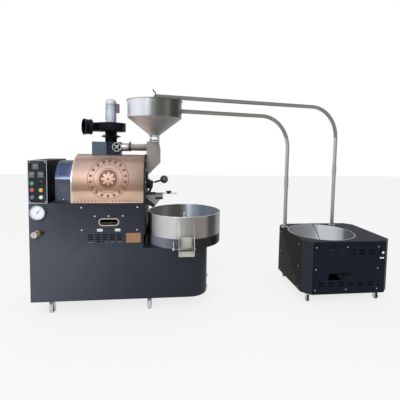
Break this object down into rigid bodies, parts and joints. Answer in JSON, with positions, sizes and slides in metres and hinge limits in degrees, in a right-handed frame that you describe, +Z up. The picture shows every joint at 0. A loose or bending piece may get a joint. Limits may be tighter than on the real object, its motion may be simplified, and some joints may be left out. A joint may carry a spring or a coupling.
{
  "type": "coffee roasting machine",
  "caption": "Floor-standing gas drum coffee roaster with hopper, exhaust fan, round cooling tray and a pneumatic bean loader joined by two bent steel tubes.",
  "frame": {"origin": "on the floor, under the middle of the whole machine's box", "axes": "+X to the operator's right along the machine, +Y away from the operator, +Z up"},
  "size_m": [3.11, 0.847, 1.8651],
  "materials": {
    "cabinet_paint": "satin black-grey powder coat",
    "black_paint": "black powder coat",
    "loader_paint": "black powder coat, satin",
    "copper": "brushed rose copper sheet",
    "stainless": "polished stainless",
    "satin_steel": "satin stainless",
    "zinc": "zinc plated",
    "cover_paint": "blue-grey metallic paint",
    "cast_black": "black casting",
    "motor_grey": "light grey enamel",
    "panel_black": "black face plate",
    "instrument_plastic": "dark moulded plastic",
    "gauge_white": "white dial, steel bezel",
    "brass": "cast brass",
    "green_cap": "green cap",
    "red_cap": "red cap",
    "yellow_cap": "yellow cap",
    "blue_cap": "blue cap",
    "white_cap": "white cap",
    "black_plastic": "black plastic",
    "ball_black": "black phenolic ball",
    "glass": "heat-proof glass",
    "rubber_wheel": "rubber tyre",
    "white_wheel": "white nylon"
  },
  "bodies": {
    "machine": {"base_frame": "black_paint", "cabinet_shell": "cabinet_paint", "deck_plates": "cabinet_paint", "burner_panel": "cabinet_paint", "service_panel": "cabinet_paint", "pressure_gauge": "gauge_white", "gas_valve": "brass", "gas_burner": "satin_steel", "control_box": "black_paint", "control_panel": "panel_black", "panel_instruments": "instrument_plastic", "drum_housing": "copper", "drum_rear_cover": "cover_paint", "front_plate": "cast_black", "sight_glass": "glass", "drum_bearings": "cast_black", "drum_gearmotor": "motor_grey", "discharge_chute": "satin_steel", "sample_shelf": "satin_steel", "hopper_bowl": "stainless", "hopper_lid": "stainless", "hopper_neck": "zinc", "feed_chute": "satin_steel", "exhaust_plenum": "cover_paint", "fan_housing": "black_paint", "fan_motor": "motor_grey", "chaff_pipe": "stainless", "cooling_tray": "stainless", "tray_floor": "satin_steel", "tray_base": "black_paint", "stirrer_gearmotor": "motor_grey", "lower_tube": "stainless", "upper_tube": "stainless", "loader_body": "loader_paint", "loader_top": "loader_paint", "loader_bowl": "stainless", "loader_front_panel": "loader_paint", "loader_blower": "motor_grey", "level_probe": "black_paint", "caster_forks": "zinc"},
    "drum": {"roasting_drum": "satin_steel"},
    "impeller": {"fan_impeller": "satin_steel"},
    "stirrer": {"stirrer": "satin_steel"},
    "slide_gate": {"slide_gate": "satin_steel"},
    "damper_dial": {"damper_dial": "zinc"},
    "gas_knob": {"gas_valve_knob": "zinc"},
    "start_button": {"button_start": "green_cap"},
    "stop_button": {"button_stop": "red_cap"},
    "burner_button": {"button_burner": "yellow_cap"},
    "fan_button": {"button_fan": "blue_cap"},
    "cooling_button": {"button_cooling": "white_cap"},
    "selector": {"selector_switch": "black_plastic"},
    "bean_door": {"bean_door": "cast_black"},
    "trier": {"trier": "black_plastic"},
    "tray_gate": {"tray_gate": "satin_steel"},
    "speed_knob": {"loader_knob": "black_plastic"},
    "roaster_front_wheels": {"roaster_front_wheels": "white_wheel"},
    "roaster_rear_wheels": {"roaster_rear_wheels": "white_wheel"},
    "loader_front_wheels": {"loader_front_wheels": "rubber_wheel"},
    "loader_rear_wheels": {"loader_rear_wheels": "rubber_wheel"}
  },
  "joints": [
    {"name": "drum_turn", "type": "hinge", "parent": "machine", "child": "drum", "pos_m": [-0.954, -0.0565, 1.049], "axis": [1, 0, 0], "continuous": true},
    {"name": "impeller_spin", "type": "hinge", "parent": "machine", "child": "impeller", "pos_m": [-0.968, -0.0565, 1.54], "axis": [0, 0, 1], "continuous": true},
    {"name": "stirrer_turn", "type": "hinge", "parent": "machine", "child": "stirrer", "pos_m": [-0.327, -0.0565, 0.64], "axis": [0, 0, 1], "continuous": true},
    {"name": "slide_gate_pull", "type": "slide", "parent": "machine", "child": "slide_gate", "axis": [0, -1, 0], "range_m": [0, 0.08]},
    {"name": "damper_turn", "type": "hinge", "parent": "machine", "child": "damper_dial", "pos_m": [-0.912, -0.1085, 1.369], "axis": [0, -1, 0], "range_deg": [0, 90]},
    {"name": "gas_knob_turn", "type": "hinge", "parent": "machine", "child": "gas_knob", "pos_m": [-1.5, -0.3485, 0.682], "axis": [0, -1, 0], "range_deg": [0, 90]},
    {"name": "start_press", "type": "slide", "parent": "machine", "child": "start_button", "axis": [0, 1, 0], "range_m": [0, 0.004], "stiffness_N_per_m": 300, "springref_m": -0.001},
    {"name": "stop_press", "type": "slide", "parent": "machine", "child": "stop_button", "axis": [0, 1, 0], "range_m": [0, 0.004], "stiffness_N_per_m": 300, "springref_m": -0.001},
    {"name": "burner_press", "type": "slide", "parent": "machine", "child": "burner_button", "axis": [0, 1, 0], "range_m": [0, 0.004], "stiffness_N_per_m": 300, "springref_m": -0.001},
    {"name": "fan_press", "type": "slide", "parent": "machine", "child": "fan_button", "axis": [0, 1, 0], "range_m": [0, 0.004], "stiffness_N_per_m": 300, "springref_m": -0.001},
    {"name": "cooling_press", "type": "slide", "parent": "machine", "child": "cooling_button", "axis": [0, 1, 0], "range_m": [0, 0.004], "stiffness_N_per_m": 300, "springref_m": -0.001},
    {"name": "selector_turn", "type": "hinge", "parent": "machine", "child": "selector", "pos_m": [-1.457, -0.3285, 1.077], "axis": [0, -1, 0], "range_deg": [-45, 45]},
    {"name": "bean_door_swing", "type": "hinge", "parent": "machine", "child": "bean_door", "pos_m": [-0.621, -0.0565, 1.06], "axis": [0, -1, 0], "range_deg": [0, 38]},
    {"name": "trier_pull", "type": "slide", "parent": "machine", "child": "trier", "axis": [1, 0, 0], "range_m": [0, 0.04]},
    {"name": "tray_gate_drop", "type": "hinge", "parent": "machine", "child": "tray_gate", "pos_m": [-0.327, -0.3855, 0.555], "axis": [1, 0, 0], "range_deg": [0, 75]},
    {"name": "speed_knob_turn", "type": "hinge", "parent": "machine", "child": "speed_knob", "pos_m": [1.449, -0.2985, 0.461], "axis": [0, -1, 0], "range_deg": [-135, 135]},
    {"name": "roaster_front_roll", "type": "hinge", "parent": "machine", "child": "roaster_front_wheels", "pos_m": [-1.02, -0.2385, 0.045], "axis": [1, 0, 0], "continuous": true},
    {"name": "roaster_rear_roll", "type": "hinge", "parent": "machine", "child": "roaster_rear_wheels", "pos_m": [-1.02, 0.1255, 0.045], "axis": [1, 0, 0], "continuous": true},
    {"name": "loader_front_roll", "type": "hinge", "parent": "machine", "child": "loader_front_wheels", "pos_m": [1.122, -0.2205, 0.028], "axis": [1, 0, 0], "continuous": true},
    {"name": "loader_rear_roll", "type": "hinge", "parent": "machine", "child": "loader_rear_wheels", "pos_m": [1.122, 0.3535, 0.028], "axis": [1, 0, 0], "continuous": true}
  ]
}
